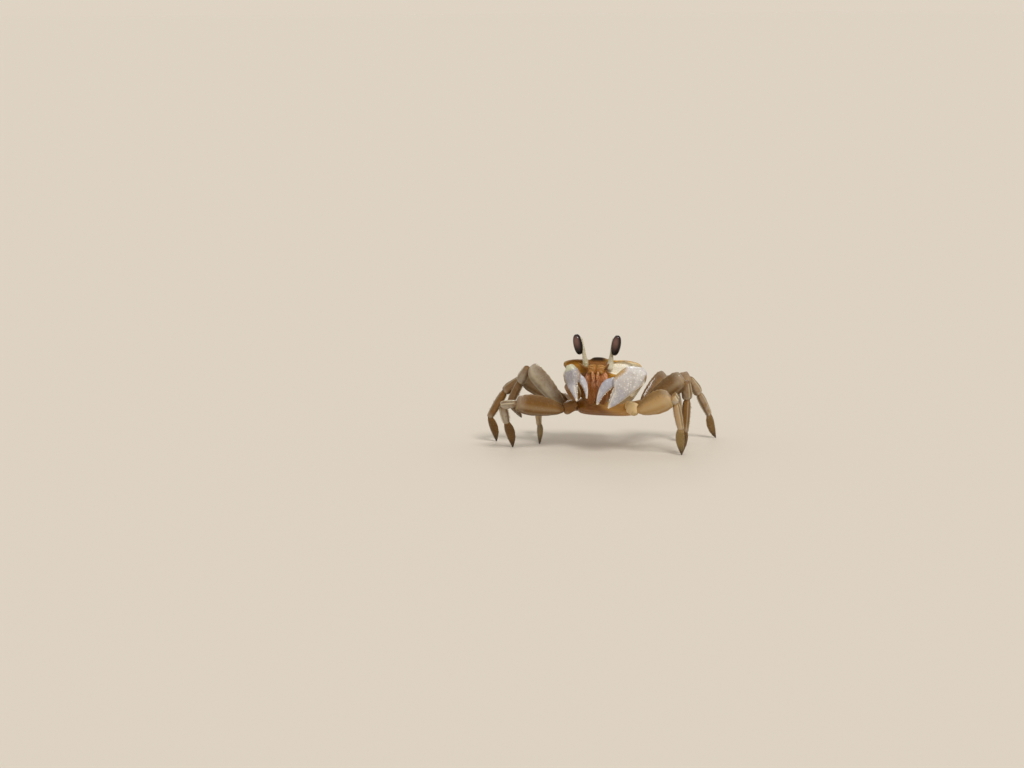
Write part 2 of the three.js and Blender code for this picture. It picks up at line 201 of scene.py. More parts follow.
def knob(bm, place, radius, detail=2, **values):  # a small rounded dome, cone or bead
    ball = bmesh.ops.create_icosphere(bm, subdivisions=detail, radius=radius, matrix=place)
    for vert in ball["verts"]:
        mark(bm, vert, values)


def bristle(bm, root, way, length, radius, corner, **values):  # one hair, in its own small patch of the bake map
    sides, (wide, tall) = bristleShape["sides"], bristleShape["patch"]
    turn = way.to_track_quat("Z", "Y").to_matrix().to_4x4()
    place = Matrix.Translation(root + way * (0.5 * length - bristleShape["sunk"])) @ turn
    made = bmesh.ops.create_cone(
        bm, cap_ends=True, segments=sides, radius1=radius, radius2=bristleShape["tip"] * radius,
        depth=length, matrix=place,
    )["verts"]
    for vert in made:
        mark(bm, vert, values)
    patch = {vert: (wide * (i % sides), tall * (i // sides)) for i, vert in enumerate(made)}
    layer = bm.loops.layers.uv["OFBake"]
    for face in {face for vert in made for face in vert.link_faces}:
        for loop in face.loops:
            loop[layer].uv = (corner[0] + patch[loop.vert][0], corner[1] + patch[loop.vert][1])


def finishPiece(bm, name, material, nodes):
    bmesh.ops.scale(bm, vec=(mm, mm, mm), verts=bm.verts)
    bmesh.ops.recalc_face_normals(bm, faces=bm.faces)
    mesh = bpy.data.meshes.new(name)
    bm.to_mesh(mesh)
    bm.free()
    mesh.polygons.foreach_set("use_smooth", [True] * len(mesh.polygons))
    mesh.materials.append(material)
    piece = bpy.data.objects.new(name, mesh)
    bpy.context.scene.collection.objects.link(piece)
    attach(piece, "root")
    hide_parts(*nodes)


def skinPiece(look, place, name, material, nodes):
    bm = newShape()
    skin(bm, look["sides"], look["rings"], place)
    finishPiece(bm, name, material, nodes)


# Shader maths: a wire is a socket that can be added, multiplied and so on
class Wire:
    def __init__(self, paint, socket):
        self.paint = paint
        self.socket = socket

    def maths(self, operation, first, second):
        return self.paint.add("ShaderNodeMath", {"operation": operation}, {0: first, 1: second})

    def __add__(self, other):
        return self.maths("ADD", self, other)

    def __radd__(self, other):
        return self.maths("ADD", other, self)

    def __sub__(self, other):
        return self.maths("SUBTRACT", self, other)

    def __rsub__(self, other):
        return self.maths("SUBTRACT", other, self)

    def __mul__(self, other):
        return self.maths("MULTIPLY", self, other)

    def __rmul__(self, other):
        return self.maths("MULTIPLY", other, self)


def colour(code):  # hex code to the renderer's linear colour
    channels = [int(code[i:i + 2], 16) / 255 for i in (1, 3, 5)]
    return tuple(c / 12.92 if c < 0.04045 else ((c + 0.055) / 1.055) ** 2.4 for c in channels) + (1,)


sockets = {
    "colour": "Base Color", "roughness": "Roughness", "normal": "Normal", "coat": "Coat Weight",
    "coatRoughness": "Coat Roughness", "ior": "IOR", "specular": "Specular IOR Level",
    "glow": "Subsurface Weight", "spread": "Subsurface Radius", "depth": "Subsurface Scale",
}


class Paint:  # one material and the colours it may use by name
    def __init__(self, name, codes, **fixed):
        self.codes = codes
        self.material = bpy.data.materials.new(name)
        self.material.use_nodes = True
        self.tree = self.material.node_tree
        self.shader = self.tree.nodes["Principled BSDF"]
        self.feed(**fixed)

    def join(self, value, socket):  # a wire, a number or the name of a colour
        if isinstance(value, Wire):
            self.tree.links.new(value.socket, socket)
        else:
            socket.default_value = colour(self.codes[value]) if isinstance(value, str) else value

    def add(self, kind, settings, inputs, output=0):
        node = self.tree.nodes.new(kind)
        for key, value in settings.items():
            setattr(node, key, value)
        for key, value in inputs.items():
            self.join(value, node.inputs[key])
        return Wire(self, node.outputs[output])

    def mark(self, name):
        return self.add("ShaderNodeAttribute", {"attribute_name": name}, {}, "Fac")

    def place(self):
        return self.add("ShaderNodeTexCoord", {}, {}, "Object")

    def noise(self, size, detail=3, roughness=0.55):  # size of a blotch in millimetres
        values = {"Vector": self.place(), "Scale": 1 / (size * mm), "Detail": detail, "Roughness": roughness}
        return self.add("ShaderNodeTexNoise", {}, values)

    def grains(self, size):  # distance from the middle of the nearest grain
        values = {"Vector": self.place(), "Scale": 1 / (size * mm)}
        return self.add("ShaderNodeTexVoronoi", {}, values, "Distance")

    def feed(self, **values):
        for key, value in values.items():
            self.join(value, self.shader.inputs[sockets[key]])
        return self.material


def step(wire, low, high):  # eases from 0 to 1 as the wire's value goes from low to high
    kind = {"interpolation_type": "SMOOTHSTEP"}
    return wire.paint.add("ShaderNodeMapRange", kind, {"Value": wire, "From Min": low, "From Max": high})


def mix(share, a, b):
    return share.paint.add("ShaderNodeMix", {"data_type": "RGBA"}, {0: share, 6: a, 7: b}, 2)


def bump(height, distance, strength):
    values = {"Height": height, "Distance": distance * mm, "Strength": strength}
    return height.paint.add("ShaderNodeBump", {}, values)


# Walking legs
legColours = {
    "top": "#6a4f30", "side": "#c0975a", "shade": "#754d16", "below": "#5b3c10", "grey": "#b5a997",
    "line": "#dccfab", "joint": "#a08a5c", "warm": "#7a4c0a", "warmSide": "#e4c896", "speck": "#3c2c17",
    "toe": "#664415", "toeSide": "#8d7444", "toeTip": "#3f2b10",
}


def legPaint(name, toe):
    paint = Paint(
        name, legColours, roughness=0.36, coat=0.28, coatRoughness=0.07, ior=1.45, specular=0.2,
        glow=0.12, spread=(1, 0.6, 0.25), depth=0.9 * mm,
    )
    dorsal, along, edge = paint.mark("dorsal"), paint.mark("along"), paint.mark("edge")
    blotch, cloud, fine = paint.noise(2.2), paint.noise(5, 2), paint.noise(0.45, 4)
    tone = paint.mark("tone")
    # tone picks each leg's lit or shaded colour: partly painted light and shade
    side = mix(step(tone + 0.6 * (cloud - 0.5), 0.0, 1.0), "shade", "side")
    clearAndSheen = paint.mark("pale") * step(blotch, 0.15, 0.6) * step(along, -0.15, 0.4)
    side = mix(clearAndSheen, side, "grey")  # where the leg looks see-through, and partly a painted sheen where light falls
    if toe:
        side = mix(step(along, 0.0, 0.2), side, mix(tone, "toe", "toeSide"))
        side = mix(step(along, 0.55, 0.98), side, "toeTip")
        body = mix(0.3 * step(dorsal, 0.2, 0.9), side, "top")
    else:
        body = mix(0.6 * step(dorsal + 0.6 * (blotch - 0.5), 0.2, 0.85), side, "top")
        # painted shade under each leg, strongest on the dark-toned legs
        under = step(dorsal + 0.4 * (blotch - 0.5), -0.15, -0.75) * (0.85 - 0.55 * tone)
        body = mix(under, body, "below")
        body = mix(0.35 * step(along, 0.75, 0.98) * step(dorsal, -0.9, -0.2), body, "grey")
    specks = step(paint.grains(0.55), 0.3, 0.12) * step(blotch + 0.4 * dorsal, 0.5, 0.8)
    body = mix(0.6 * specks, body, "speck")
    body = mix(0.08 * step(fine, 0.5, 0.72), body, "line")  # pale dust
    # hips are cream on light-toned legs and dark amber on dark-toned ones: partly painted light and shade
    body = mix(paint.mark("warm"), body, mix(tone, "warm", "warmSide"))
    body = mix((0.35 + 0.65 * paint.mark("pale")) * edge, body, "line")
    body = mix(paint.mark("soft") * step(fine, 0.2, 0.7), body, "joint")  # skin in the socket
    height = 0.6 * fine + 0.5 * step(paint.grains(0.32), 0.5, 0.0)
    return paint.feed(colour=body, roughness=0.24 + 0.26 * blotch, normal=bump(height, 0.05, 0.7))


legPaints = {"leg": legPaint("legShell", False), "toe": legPaint("toeShell", True)}

# Ridges are [degrees from the upper edge, height as a share of the radius, width in degrees]
plainLimb = {
    "sides": 44, "trim": (0.08, 0.1), "crest": 0, "neck": 0.85, "spare": (0.5, 0.4), "flutes": 0, "teeth": 0,
    "line": 0.9, "girth": 1,
}
legLooks = {
    "hip": {
        "sides": 36, "rings": 44, "trim": (0.1, 0.12), "square": 0.88, "neck": 0.92, "spare": (0.6, 0.5),
        "ridges": [[0, 0.03, 18]], "cap": 0.8, "line": 0.2, "girth": 0.87,
    },
    "merus": {
        "sides": 52, "rings": 92, "trim": (0.06, 0.08), "square": 0.86, "crest": 0.42, "spare": (0.4, 0.5),
        "ridges": [
            [0, 0.04, 7], [94, 0.015, 11], [-94, 0.015, 11], [128, 0.06, 8], [-128, 0.06, 8], [180, 0.02, 14],
        ],
        "teeth": 17, "cap": 0.3, "line": 0.5,
    },
    "carpus": {
        "rings": 56, "square": 0.84, "crest": 0.2, "teeth": 9, "cap": 0.6,
        "ridges": [[18, 0.06, 8], [-38, 0.07, 7], [60, 0.05, 7], [180, 0.04, 18]],
    },
    "propodus": {
        "rings": 64, "trim": (0.08, 0.08), "square": 0.82, "crest": 0.1, "neck": 0.86, "cap": 0.7,
        "ridges": [[12, 0.06, 7], [-42, 0.06, 7], [62, 0.05, 7], [168, 0.05, 9], [-160, 0.05, 9]],
    },
    "dactyl": {
        "sides": 42, "rings": 64, "trim": (0.08, 0.02), "square": 0.9, "neck": 1, "spare": (0.5, 0.0),
        "ridges": [[0, 0.06, 9], [180, 0.06, 9]], "flutes": 0.05, "cap": 0, "line": 0.35,
    },
}
limbShape = {
    "rootRound": 9, "toeRootRound": 8, "toeRound": 7, "capRound": 2.4, "shoulder": 0.02, "fluteCount": 6,
    "tooth": {"height": 0.04, "width": 9}, "wobble": {"height": 0.035, "scale": 0.55},
    "capLine": 0.35, "socketSkin": 0.7, "floor": 0.02, "gather": 1.6,
}


def limbSkin(bm, node, place, length, look, tip=False, **shades):  # length is from joint to joint
    look = {**plainLimb, **look}
    tooth, wobble = limbShape["tooth"], limbShape["wobble"]
    stations, rows, _, high = outlineOf(node, place, look["trim"])
    first = -look["spare"][0]
    last = high if tip else length + look["spare"][1]
    capLength = look["cap"] * (rows[-1, 1] - rows[-1, 0]) / 2
    lip = 1 - capLength / (last - first)  # where the rounded far end begins
    cache = {}

    def sectionOf(t):
        if t not in cache:
            cache[t] = sectionAt(mixed(first, last, t), stations, rows)
        return cache[t]

    def swell(t):  # neck at the near end, a rounded shoulder at the far one
        grown = look["girth"] * mixed(look["neck"], 1, ease(t, 0.01, 0.1))
        if t < 0.5:
            grown *= blunt(t, limbShape["toeRootRound" if tip else "rootRound"])
        if tip:
            return grown * (1 - max(0, 2 * t - 1) ** limbShape["toeRound"]) ** 0.5
        grown *= 1 + limbShape["shoulder"] * bell(t - lip + 0.02, 0.016)
        over = max(0, (t - lip) / (1 - lip))
        return grown * (1 - over ** limbShape["capRound"]) ** 0.5

    def spot(t, around):
        y0, y1, z0, z1 = section = sectionOf(t)
        degrees = math.degrees(around)
        body = ease(t, 0.05, 0.13) * (1 if tip else 1 - ease(t, lip - 0.06, lip + 0.02))
        near = [bell(angleApart(degrees, ridge[0]), ridge[2]) for ridge in look["ridges"]]
        raised = sum(ridge[1] * share for ridge, share in zip(look["ridges"], near))
        flute = look["flutes"] * math.cos(limbShape["fluteCount"] * around)
        raised += flute * ease(t, 0.1, 0.3) * (1 - ease(t, 0.8, 1))
        radius = swell(t) * (1 + raised * body)
        if look["teeth"]:
            saw = max(0, math.sin(math.pi * look["teeth"] * t)) ** 0.7
            radius += tooth["height"] * saw * body * bell(angleApart(degrees, 0), tooth["width"])
        c, s = squared(around, look["square"])
        thin = 1 - look["crest"] * max(0, c)
        point = onSection(mixed(first, last, t), section, radius * c, radius * s * thin)
        shake = noise.noise(place @ point * wobble["scale"]) * wobble["height"] * body
        point.y += shake * (y1 - y0) / 2 * c
        point.z += shake * (z1 - z0) / 2 * s
        line, soft = max(near), 0.0
        if not tip:
            soft = limbShape["socketSkin"] * ease(t, lip, lip + 0.03) * ease(math.cos(around), 0.3, -0.4)
            line = max(line * body, limbShape["capLine"] * bell(t - lip + 0.012, 0.01))
        values = {"along": t, "dorsal": math.cos(around), "edge": line * look["line"], "soft": soft, **shades}
        point = place @ point
        point.z = max(point.z, limbShape["floor"])
        return point, values

    def run(t):  # rings gather where the girth changes
        return (mixed(first, last, t), swell(t) * limbShape["gather"])

    skin(bm, look["sides"], look["rings"], spot, stations=evenShares(run, look["rings"]))
    return spot


legParts = ["hip", "merus", "carpus", "propodus", "dactyl"]
legLean = [0.2, 0.2, 1.2, 1.2, 1.2]  # how far outwards the upper edge of each part leans
legTones = {"left": [1.0, 0.15, 0.25, 0.1], "right": [0.05, 0.1, 0.0, 0.7]}  # how light each leg is, front to rear: partly painted sun and shade
paleShares = {  # how grey and see-through each part looks, hip to toe; the grey is partly a painted sheen
    "left": [
        [0, 0.1, 1, 0.45, 0.25], [0, 0.1, 0.4, 0.05, 0.1], [0, 0.0, 0.5, 0.5, 0.4], [0, 0.05, 0.9, 0.4, 0.2],
    ],
    "right": [
        [0, 0.0, 1, 1, 0], [0, 0.85, 0.7, 0.15, 0.1], [0, 0.05, 0.15, 0.05, 0], [0, 0.1, 0.3, 0.3, 0.2],
    ],
}
hipWarmth = 0.8
bodySocket = 0.9  # how far a limb's near end may be from the body
legSkins = []


def limbJoints(nodes):
    joints = [footOf(nodes[0], "carapace", bodySocket)]
    for near, far in zip(nodes, nodes[1:]):
        joints.append(footOf(far, near))
    joints.append(tipOf(nodes[-1], joints[-1]))
    return joints


for side in ("left", "right"):
    for number in range(1, 5):
        nodes = [f"leg_{side}_{number}_{part}" for part in legParts]
        joints = limbJoints(nodes)
        outward = Vector((joints[2].x, joints[2].y, 0)).normalized()
        tone, pale = legTones[side][number - 1], paleShares[side][number - 1]
        for i, (part, node, start, end) in enumerate(zip(legParts, nodes, joints, joints[1:])):
            place = limbPlace(node, start, end, Vector((0, 0, 1)) + outward * legLean[i])
            shades = {"tone": tone, "pale": pale[i], "warm": hipWarmth if part == "hip" else 0}
            toe = part == "dactyl"
            bm = newShape()
            legSkins.append((part, limbSkin(bm, node, place, (end - start).length, legLooks[part], toe, **shades)))
            kind = "toe" if toe else "leg"
            finishPiece(bm, f"{part}{side.title()}{number}", legPaints[kind], [node])
print("walking legs built")

# Bristles along the legs' edges: rows are degrees from the upper edge
bristleLooks = {
    "carpus": {"count": 30, "rows": [0, 180], "length": 0.45},
    "propodus": {"count": 80, "rows": [0, 180, 165], "length": 0.6},
    "dactyl": {"count": 110, "rows": [0, 180, 62, -62, 120, -120], "length": 0.5},
}
bristleSpread = {
    "along": (0.1, 0.88), "degrees": 9, "scatter": 0.12, "forward": 0.8, "lengths": (0.6, 1.2),
    "radius": 0.03, "lowest": 0.5, "edge": 0.5,
}
bakeTiles = {"across": 7, "margin": 0.05, "share": 0.88}  # each leg part has its own tile of the map


def legBristles(name, parts, kind):
    bm = newShape()
    bm.loops.layers.uv.new("OFBake")
    for number, (part, spot) in enumerate(legSkins):
        if part not in parts:
            continue
        look, spread, tiles = bristleLooks[part], bristleSpread, bakeTiles
        for _ in range(look["count"]):
            t = random.uniform(*spread["along"])
            around = math.radians(random.choice(look["rows"]) + random.gauss(0, spread["degrees"]))
            root, values = spot(t, around)
            if root.z < spread["lowest"]:
                continue
            outward = (root - spot(t, around + math.pi)[0]).normalized()
            forward = (spot(t + 0.05, around)[0] - root).normalized()
            scatter = Vector([random.gauss(0, spread["scatter"]) for _ in range(3)])
            way = (outward + spread["forward"] * forward + scatter).normalized()
            length = look["length"] * random.uniform(*spread["lengths"])
            tile = (number % tiles["across"], number // tiles["across"])
            shares = (t, (around / math.tau) % 1)
            corner = [(i + tiles["margin"] + tiles["share"] * j) / tiles["across"] for i, j in zip(tile, shares)]
            values["edge"] = spread["edge"]
            bristle(bm, root, way, length, spread["radius"], corner, **values)
    finishPiece(bm, name, legPaints[kind], [])


legBristles("legBristles", ["carpus", "propodus"], "leg")
legBristles("toeBristles", ["dactyl"], "toe")
print("bristles built")

# Carapace
shell = {
    "pitch": 20, "roll": 1.5, "width": 26.2, "length": 22, "rim": 4.4, "dome": 2.3, "depth": 12.3, "rake": 0.3,
    "sides": 240, "rings": 176, "square": 0.62, "frontRound": 5.5, "rearRound": 3.6, "frontRise": 1.75, "crown": 14,
    "orbit": {"middle": 7.3, "width": 4.5, "drop": 2.3, "height": 2.0, "depth": 1.3},
    "brow": {"middle": 0.3, "width": 2.6, "height": 0.8, "forward": 0.75},
    "shelf": {"drop": 4.6, "forward": 0.35},
    "mask": {"width": 3.4, "drop": 2.6, "height": 1.6, "forward": 0.9},
    "corner": {"out": 0.9, "leftDrop": 0.2, "rightDrop": 0.8},
    "edgeBack": 0.8, "edgeOut": 1.1, "edgeRise": 0.35, "lip": 0.35, "ledge": 0.12, "groove": 0.18,
    "bead": 0.55, "beadHeight": (0.14, 0.05), "wobble": 0.04,
}
shellColours = {
    "back": "#b3a483", "blotch": "#8e7b57", "speck": "#675840", "pale": "#cfc4a6", "edgeShade": "#8a5c14",
    "brow": "#2b1a0b", "face": "#87521f", "cheek": "#a5854a", "gold": "#8a5f2c", "bright": "#d09a2c",
    "orbit": "#ede3c6", "orbitPale": "#fff9ea", "orbitShade": "#ad761c", "belly": "#6d4510", "flankPale": "#efdfb8",
}


def bodyFrame():  # x to the crab's left, y to its rear, z up out of its back
    tilt = Matrix.Rotation(math.radians(-shell["pitch"]), 4, "X")
    turn = tilt @ Matrix.Rotation(math.radians(-shell["roll"]), 4, "Y")
    inside = cadPoints("carapace") @ np.array(turn.to_3x3())
    rear = inside[:, 1].max()
    top = inside[inside[:, 1] > rear - shell["crown"], 2].max()
    middleX = (inside[:, 0].min() + inside[:, 0].max()) / 2
    return turn @ Matrix.Translation((middleX, rear - shell["length"] / 2, top - shell["rim"] - shell["dome"]))


bodyPlace = bodyFrame()


def shellSize(t):  # t is 0 at the front and 1 at the rear
    cap = blunt(t, shell["frontRound"] if t < 0.5 else shell["rearRound"])
    half = shell["width"] / 2 * (0.98 - 0.05 * ease(t, 0.1, 0.45) - 0.14 * ease(t, 0.4, 1)) * cap
    rim = shell["rim"] - 0.4 * (1 - ease(t, 0, 0.2)) - 2.4 * ease(t, 0.55, 1)
    depth = shell["depth"] * (1 - 0.3 * ease(t, 0.55, 1))
    return cap, half, rim, depth


def shellSurface(t, around):
    cap, half, rim, depth = shellSize(t)
    across, rise = signedPower(math.cos(around), shell["square"]), math.sin(around)
    inward = 1 - 0.38 * abs(rise) ** 0.6 if rise < 0 else 1
    frontShare = 1 - ease(t, 0, 0.5)
    lift = rise ** (0.8 - 0.3 * frontShare) * shell["dome"] if rise > 0 else signedPower(rise, 0.8) * depth
    back = (t - 0.5) * shell["length"]
    y = back - frontShare * min(0, lift * cap) * shell["rake"]
    return Vector((across * half * inward, y, rim + lift * cap)), back, rim, rise


def shellGrooves(wide, back):  # the H on the back: down each side, across, out to the side and to the rear
    long = bell(wide - 2.9 - 0.03 * (back + 1) ** 2, 0.45) * ease(back, -4.5, -2.5) * (1 - ease(back, 6, 7.5))
    cross = bell(back - 0.8 - 0.05 * wide ** 2, 0.4) * (1 - ease(wide, 2.8, 4))
    branch = bell(back + 1.6 + 0.62 * (wide - 3.2), 0.45) * ease(wide, 3, 3.6) * (1 - ease(wide, 7.5, 9))
    rear = bell(back - 2.8 - 0.25 * (wide - 3.2), 0.5) * ease(wide, 3, 3.8) * (1 - ease(wide, 8, 10))
    return min(1, long + cross + branch + 0.6 * rear)


def shellSpot(t, around):
    point, back, rim, rise = shellSurface(t, around)
    orbit, brow, shelf, mask, horn = (shell[key] for key in ("orbit", "brow", "shelf", "mask", "corner"))
    wide, onLeft = abs(point.x), point.x > 0
    front = 1 - ease(back, -10.6, -9.4)
    forward = 1 - ease(back, -10.5, -3)
    top = ease(rise, 0.05, 0.3)
    margin = rim + shell["frontRise"] * forward  # height of the sharp edge between the back and the face
    low = margin - point.z
    u, v = (wide - orbit["middle"]) / orbit["width"], (low - orbit["drop"]) / orbit["height"]
    pit = ease(1 - abs(u) ** 2.6 - abs(v) ** 3, 0, 0.5) * front
    point.y += orbit["depth"] * pit
    overEyes, atCorners = bell(wide - 6.8, 2.7), bell(wide - 11.8, 0.9)
    point.y += (shell["edgeBack"] * overEyes - shell["edgeOut"] * atCorners) * ease(low, 1.1, 0.2) * forward
    point.y -= shell["lip"] * bell(low, 0.45) * front
    lower = bell(low - shelf["drop"], 0.3) * ease(wide, 3.6, 4.4) * (1 - ease(wide, 11, 12)) * front
    point.y -= shelf["forward"] * lower * (1 + 0.3 * math.sin(math.tau * point.x / shell["bead"]))
    middleBrow = math.exp(-((point.x - brow["middle"]) / brow["width"]) ** 4)
    point.z += brow["height"] * middleBrow * (1 - ease(back, -11, -6.5)) * ease(low, 0.55, 0.05)
    point.y -= brow["forward"] * middleBrow * ease(low, 0.6, 0.05) * front
    dome = math.exp(-(point.x / mask["width"]) ** 6) * bell(low - mask["drop"], mask["height"]) * front
    point.y -= mask["forward"] * dome
    corner = ease(wide, 10.4, 12.6) * ease(low, 1.6, 0.3) * forward  # sharper and higher on the left
    point.x += horn["out"] * corner * onLeft
    point.z -= horn["leftDrop" if onLeft else "rightDrop"] * corner
    point.z += shell["edgeRise"] * bell(wide - 8, 3) * ease(low, 1.2, 0) * forward
    groove = shellGrooves(wide, back) * top
    point.z += shell["ledge"] * bell(back - 9.5, 0.3) * top - shell["groove"] * groove
    rimLine = bell(low, 0.3 + 0.16 * front) * (ease(wide, 9, 12) if front < 0.2 else 1)
    frontRim = ease(abs(low + 0.2), 0.9, 0.25) * (1 - ease(back - 2.4 * ease(point.x, 3, 8), -10.2, -8.2))
    height, ripple = shell["beadHeight"]
    beads = height + ripple * math.sin(math.tau * back / shell["bead"])
    point.x += math.copysign(beads, point.x) * rimLine * (1 - front)
    point.z += shell["wobble"] * noise.noise(point * 0.5)
    # tone marks the crab's left side, painted lighter as the side the sun falls on
    values = {
        "dorsal": ease(low, 0.5, -0.3), "edge": max(rimLine, frontRim), "pit": pit,
        "face": front * (1 - ease(wide, 4.5, 8)), "warm": bell(point.x - 5.2, 1.4) * bell(low - 5.2, 1.3) * front,
        "flank": groove, "along": ease(low, 2, 12), "gold": dome, "tone": ease(point.x, 0, 5),
        "brow": middleBrow * ease(low, 0.55, 0.3) * (1 - ease(back, -10.6, -9.6)),
    }
    return bodyPlace @ point, values


def shellPaint():
    paint = Paint(
        "carapaceShell", shellColours, roughness=0.42, coat=0.15, coatRoughness=0.15, ior=1.45, specular=0.3,
        glow=0.08, spread=(1, 0.6, 0.3), depth=0.8 * mm,
    )
    face, blotch, cloud = paint.mark("face"), paint.noise(2.2, 4), paint.noise(7, 2)
    fine, grains = paint.noise(0.35, 4), paint.grains(0.42)
    back = mix(step(blotch, 0.42, 0.62), "back", "blotch")
    back = mix(0.6 * step(cloud, 0.45, 0.65), back, "pale")
    back = mix(0.75 * step(grains, 0.3, 0.12) * step(blotch, 0.4, 0.55), back, "speck")
    back = mix(0.5 * paint.mark("flank"), back, "speck")  # darker in the grooves
    cheek = mix(step(blotch, 0.35, 0.65), "cheek", "gold")
    # darker lower down the sides: partly painted shade under the body
    cheek = mix(0.85 * step(paint.mark("along") + 0.3 * (cloud - 0.5), 0.25, 0.8), cheek, "belly")
    flank = mix(step(blotch, 0.35, 0.65), "flankPale", "pale")
    cheek = mix(0.85 * paint.mark("tone"), cheek, flank)  # paler on the left: painted light on the sunlit flank
    cheek = mix(face, cheek, mix(step(fine, 0.4, 0.7), "face", "belly"))
    cheek = mix(paint.mark("warm"), cheek, "bright")
    body = mix(paint.mark("dorsal"), cheek, back)
    orbit = mix(step(fine, 0.35, 0.65), "orbit", "orbitPale")
    # the orbit is whitish on the left and dark amber on the right, as painted shade under the rim
    body = mix(paint.mark("pit"), body, mix(paint.mark("tone"), "orbitShade", orbit))
    body = mix(paint.mark("gold"), body, mix(step(fine, 0.4, 0.65), "gold", "face"))
    # the rim is golden on the left and dark on the right: painted shade on the shaded side
    rim = mix(paint.mark("tone") * step(blotch, 0.35, 0.5), "edgeShade", "bright")
    body = mix(0.95 * paint.mark("edge"), body, rim)
    body = mix(paint.mark("brow"), body, "brow")
    height = step(grains, 0.55, 0.05) + 0.35 * fine
    return paint.feed(colour=body, roughness=0.34 + 0.25 * blotch, normal=bump(height, 0.09, 0.7))


def sectionRun(t):  # the carapace's widest section and its length, to space its points evenly
    point = shellSurface(0.4, math.tau * t)[0]
    return (point.x, point.z)


def lengthRun(t):
    return ((t - 0.5) * shell["length"], 11 * shellSize(t)[0])


bm = newShape()
skin(
    bm, shell["sides"], shell["rings"], shellSpot,
    stations=evenShares(lengthRun, shell["rings"]), turns=evenShares(sectionRun, shell["sides"]),
)
finishPiece(bm, "carapaceShell", shellPaint(), ["carapace"])
print("carapace built")

# Claws: pearly palms and fingers with toothed edges, on pale arms
clawColours = {
    "palm": "#cbc3be", "light": "#dedad8", "shade": "#a2a2b0", "smoke": "#8b817d", "edge": "#f3e8d2",
    "yellow": "#b98a2c", "grain": "#fbf8f2", "cuff": "#c6c49c", "arm": "#bfae78", "armPale": "#d6c9a0",
    "armShade": "#7c4d16",
}


def clawPaint():
    paint = Paint(
        "pearlyClaw", clawColours, roughness=0.3, coat=0.4, coatRoughness=0.08, ior=1.5, specular=0.4,
        glow=0.12, spread=(1, 0.9, 0.8), depth=0.6 * mm,
    )
    dorsal, tone = paint.mark("dorsal"), paint.mark("tone")
    blotch, fine, grains = paint.noise(2), paint.noise(0.3, 4), paint.grains(0.36)
    light = mix(step(blotch, 0.4, 0.7), "palm", "light")
    dark = mix(paint.mark("warm"), "shade", "smoke")
    body = mix(paint.mark("pale") + 0.5 * (blotch - 0.5), dark, light)
    body = mix(0.2 * step(dorsal, 0.1, -0.9), body, "shade")
    body = mix(0.8 * paint.mark("soft"), body, "cuff")
    # cream edges and tips, and the painted highlight streaks on the fingers
    body = mix(0.85 * paint.mark("edge"), body, "edge")
    # white grains: real granules, partly painted glints
    body = mix(0.6 * step(grains, 0.35, 0.1) * step(blotch, 0.4, 0.6), body, "grain")
    body = mix(0.7 * step(paint.grains(0.85), 0.4, 0.18) * paint.mark("pale"), body, "grain")  # larger grains, whitened as painted glints where the palm is pale
    body = mix(0.9 * tone * step(dorsal + 0.4 * blotch, 0.9, 1.15), body, "yellow")
    body = mix(paint.mark("tooth"), body, "edge")
    height = step(grains, 0.5, 0.05) + 0.3 * fine
    return paint.feed(colour=body, roughness=0.22 + 0.25 * fine, normal=bump(height, 0.07, 0.8))


def armPaint():
    paint = Paint(
        "paleArm", clawColours, roughness=0.4, coat=0.1, coatRoughness=0.25, ior=1.5, specular=0.3,
        glow=0.2, spread=(1, 0.8, 0.45), depth=1.2 * mm,
    )
    dorsal, blotch, fine = paint.mark("dorsal"), paint.noise(1.8), paint.noise(0.4, 4)
    body = mix(step(blotch, 0.4, 0.65), "arm", "armPale")
    # darker underneath: partly painted shade
    body = mix(0.6 * step(dorsal, -0.1, -0.8), body, "armShade")
    body = mix(0.7 * paint.mark("edge"), body, "armPale")
    body = mix(paint.mark("soft"), body, "edge")
    # painted shade over most of the right arm
    body = mix(0.8 * paint.mark("tone") * step(dorsal, 0.9, 0.2), body, "armShade")
    height = step(paint.grains(0.4), 0.5, 0.05) + 0.4 * fine
    return paint.feed(colour=body, roughness=0.32 + 0.2 * blotch, normal=bump(height, 0.06, 0.6))


armLooks = {
    "arm": {
        "rings": 60, "square": 0.84, "crest": 0.3, "spare": (0.4, 0.5), "teeth": 12, "cap": 0.6, "line": 1,
        "ridges": [[0, 0.06, 10], [125, 0.06, 12], [-125, 0.06, 12]],
    },
    "wrist": {
        "rings": 52, "trim": (0.08, 0.12), "square": 0.86, "neck": 0.75, "spare": (0.4, 0.6), "teeth": 8, "cap": 0.7,
        "ridges": [[0, 0.05, 14], [90, 0.05, 14]], "line": 1,
    },
}
handLooks = {
    "palm": {"sides": 88, "rings": 150, "trim": 0.025, "square": 0.85},
    "finger": {"sides": 56, "rings": 84, "trim": 0.04, "square": 0.9},
}
handShape = {
    "keel": 0.05, "furrow": 0.03, "furrows": (158, 202), "ridgeWidth": 7, "edgeWidth": 16, "wobble": 0.05,
    "forkHeight": 0.72, "stations": 81,
}
toothLook = {"large": 1.25, "small": 0.75, "fade": (1.1, 0.6), "sunk": 0.3, "shape": (1, 1.25, 0.8)}
grainLook = {"start": 0.06, "across": (-0.8, 0.94), "size": (0.06, 0.13)}
hands = {  # pale is for the palm, its fixed finger and the moving finger
    "left": {
        "teeth": (11, 10), "size": 0.36, "grains": 420,
        "yellow": 1.0, "pale": (0.95, 0.4, 0.25), "warm": 0.1, "cuff": 0.15,
    },
    "right": {
        "teeth": (8, 8), "size": 0.22, "grains": 160,
        "yellow": 0.3, "pale": (0.05, 0.3, 0.4), "warm": 0.7, "cuff": 1,
    },
}
clawPaints = {"arm": armPaint(), "claw": clawPaint()}


